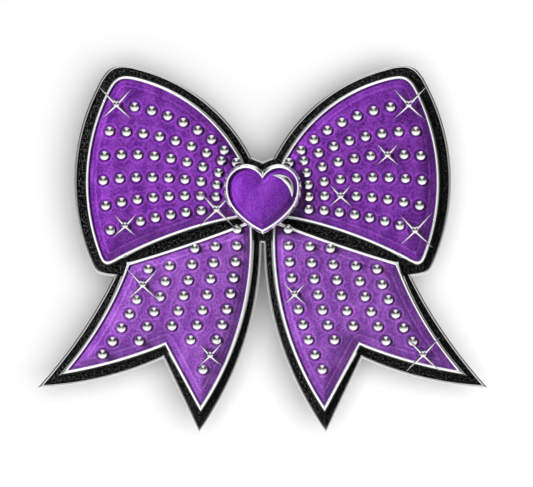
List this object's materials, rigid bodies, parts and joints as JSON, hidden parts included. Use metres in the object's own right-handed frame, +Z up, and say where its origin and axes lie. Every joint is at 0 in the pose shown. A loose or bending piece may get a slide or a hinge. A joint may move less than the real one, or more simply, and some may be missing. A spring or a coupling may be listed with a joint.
{
  "type": "cheer hair bow",
  "caption": "Flat, stiff hair bow with studded padded loops and swallow-tailed tails in bright frames, a domed heart at the knot, and a barrette clasp behind.",
  "frame": {"origin": "in the hair channel at the middle of the barrette, on the back face of its strip, behind the heart", "axes": "+X to the viewer's right along the bow's width, -Y towards the viewer (the front), +Z up"},
  "size_m": [0.1806, 0.0278, 0.1476],
  "materials": {
    "polished_plate": "polished bright",
    "black_border": "fine-grained black imitation leather",
    "chrome": "mirror polished",
    "foam": "closed-cell foam",
    "purple_satin": "purple metallic satin with fine grain",
    "heart_purple": "smooth purple satin, domed",
    "knot_core": "matte black",
    "felt": "black felt",
    "spring_steel": "nickel-plated spring steel"
  },
  "bodies": {
    "bow": {"backing_plate": "polished_plate", "border_sheet": "black_border", "loop_rim_left": "chrome", "loop_pad_left": "foam", "loop_cover_left": "purple_satin", "loop_studs_left_1": "chrome", "loop_studs_left_2": "chrome", "loop_studs_left_3": "chrome", "loop_studs_left_4": "chrome", "loop_studs_left_5": "chrome", "loop_studs_left_6": "chrome", "tail_rim_left": "chrome", "tail_pad_left": "foam", "tail_cover_left": "purple_satin", "tail_studs_left_1": "chrome", "tail_studs_left_2": "chrome", "tail_studs_left_3": "chrome", "tail_studs_left_4": "chrome", "tail_studs_left_5": "chrome", "loop_rim_right": "chrome", "loop_pad_right": "foam", "loop_cover_right": "purple_satin", "loop_studs_right_1": "chrome", "loop_studs_right_2": "chrome", "loop_studs_right_3": "chrome", "loop_studs_right_4": "chrome", "loop_studs_right_5": "chrome", "loop_studs_right_6": "chrome", "tail_rim_right": "chrome", "tail_pad_right": "foam", "tail_cover_right": "purple_satin", "tail_studs_right_1": "chrome", "tail_studs_right_2": "chrome", "tail_studs_right_3": "chrome", "tail_studs_right_4": "chrome", "tail_studs_right_5": "chrome", "sparkle_loop_left_1_1": "chrome", "sparkle_loop_left_6_2": "chrome", "sparkle_loop_left_6_8": "chrome", "sparkle_tail_left_5_2": "chrome", "sparkle_tail_left_1_9": "chrome", "sparkle_loop_right_1_1": "chrome", "sparkle_loop_right_3_3": "chrome", "sparkle_loop_right_5_6": "chrome", "sparkle_loop_right_6_1": "chrome", "sparkle_tail_right_1_5": "chrome", "sparkle_tail_right_5_7": "chrome", "knot_core": "knot_core", "heart_bezel": "chrome", "heart_gem": "heart_purple", "heart_crescent": "chrome", "felt_pad": "felt", "clip_base": "spring_steel", "hinge_pin": "spring_steel"},
    "clasp_arm": {"clasp_arm": "spring_steel"},
    "tension_bar": {"tension_bar": "spring_steel"},
    "catch_ear_upper": {"catch_ear_upper": "spring_steel"},
    "catch_ear_lower": {"catch_ear_lower": "spring_steel"}
  },
  "joints": [
    {"name": "clasp_hinge", "type": "hinge", "parent": "bow", "child": "clasp_arm", "pos_m": [-0.0365, 0.0026, 0], "axis": [0, 0, 1], "range_deg": [0, 75]},
    {"name": "tension_bar_press", "type": "hinge", "parent": "bow", "child": "tension_bar", "pos_m": [-0.031, 0.0008, 0], "axis": [0, 0, 1], "range_deg": [-2, 0], "stiffness_Nm_per_rad": 0.5},
    {"name": "ear_squeeze_upper", "type": "hinge", "parent": "bow", "child": "catch_ear_upper", "pos_m": [0.0333, 0.0009, 0.0013], "axis": [-1, 0, 0], "range_deg": [0, 6], "stiffness_Nm_per_rad": 0.1},
    {"name": "ear_squeeze_lower", "type": "hinge", "parent": "bow", "child": "catch_ear_lower", "pos_m": [0.0333, 0.0009, -0.0013], "axis": [1, 0, 0], "range_deg": [0, 6], "stiffness_Nm_per_rad": 0.1}
  ]
}
